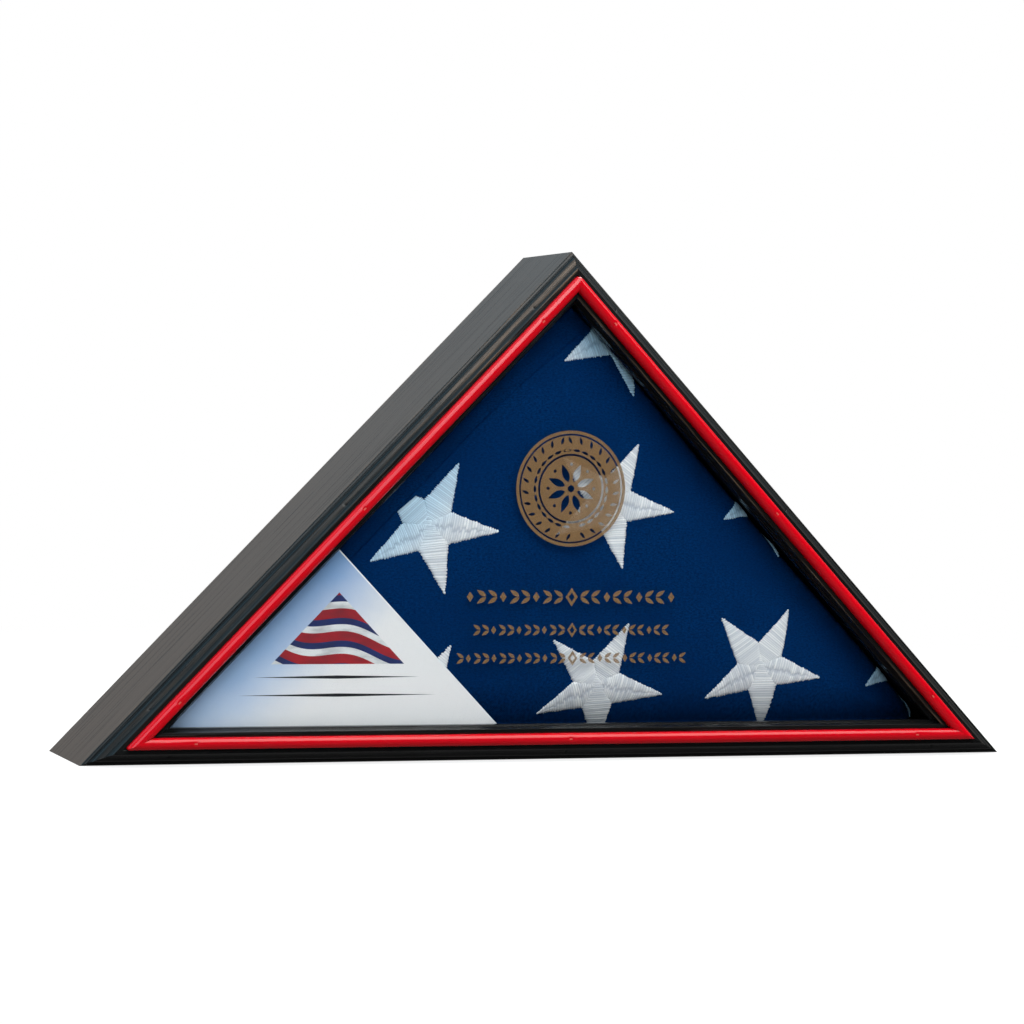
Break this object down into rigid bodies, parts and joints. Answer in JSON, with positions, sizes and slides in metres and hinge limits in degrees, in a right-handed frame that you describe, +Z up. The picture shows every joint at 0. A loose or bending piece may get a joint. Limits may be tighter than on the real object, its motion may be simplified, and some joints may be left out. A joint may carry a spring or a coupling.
{
  "type": "folded flag display case",
  "caption": "Triangular wooden shadow box that shows a folded flag behind glass, with a stepped black moulding, a red bead and a lift-out back panel held by turn buttons.",
  "frame": {"origin": "middle of the underside of the base board, midway along it and midway through the boards' depth", "axes": "+X along the base to the right as seen from the front, +Y from the glass to the back panel, +Z up to the apex"},
  "size_m": [0.66, 0.1203, 0.342],
  "materials": {
    "black_board": "satin black paint over open-grained oak",
    "black_moulding": "satin black paint, rubbed through to brown on the ridges",
    "red_bead": "semi-gloss red paint",
    "stop_wood": "black paint",
    "glass": "clear, polished",
    "card": null,
    "flag_cloth": "navy woven cotton with raised white embroidery",
    "panel_board": "black-painted hardboard",
    "zinc_steel": "zinc plated",
    "bright_steel": "bright wire and strip"
  },
  "bodies": {
    "case": {"left_side_board": "black_board", "right_side_board": "black_board", "base_board": "black_board", "left_face_moulding": "black_moulding", "right_face_moulding": "black_moulding", "bottom_face_moulding": "black_moulding", "left_red_bead": "red_bead", "right_red_bead": "red_bead", "bottom_red_bead": "red_bead", "left_glass_stop": "stop_wood", "right_glass_stop": "stop_wood", "bottom_glass_stop": "stop_wood", "glass_pane": "glass", "insert_card": "card", "folded_flag": "flag_cloth", "red_bead_brads": "red_bead", "face_moulding_brads": "black_moulding", "glass_stop_brads": "bright_steel", "corner_v_nails": "bright_steel", "turn_button_screws": "zinc_steel"},
    "panel": {"back_panel": "panel_board"},
    "left_button": {"left_turn_button": "zinc_steel"},
    "right_button": {"right_turn_button": "zinc_steel"},
    "base_left_button": {"base_left_turn_button": "zinc_steel"},
    "base_right_button": {"base_right_turn_button": "zinc_steel"}
  },
  "joints": [
    {"name": "panel_lift_out", "type": "slide", "parent": "case", "child": "panel", "axis": [0, 1, 0], "range_m": [0, 0.15]},
    {"name": "left_button_turn", "type": "hinge", "parent": "case", "child": "left_button", "pos_m": [-0.1614, 0.049, 0.16753], "axis": [0, -1, 0], "range_deg": [0, 90]},
    {"name": "right_button_turn", "type": "hinge", "parent": "case", "child": "right_button", "pos_m": [0.1614, 0.049, 0.16753], "axis": [0, 1, 0], "range_deg": [0, 90]},
    {"name": "base_left_button_turn", "type": "hinge", "parent": "case", "child": "base_left_button", "pos_m": [-0.14, 0.049, 0.005], "axis": [0, 1, 0], "range_deg": [0, 90]},
    {"name": "base_right_button_turn", "type": "hinge", "parent": "case", "child": "base_right_button", "pos_m": [0.14, 0.049, 0.005], "axis": [0, -1, 0], "range_deg": [0, 90]}
  ]
}
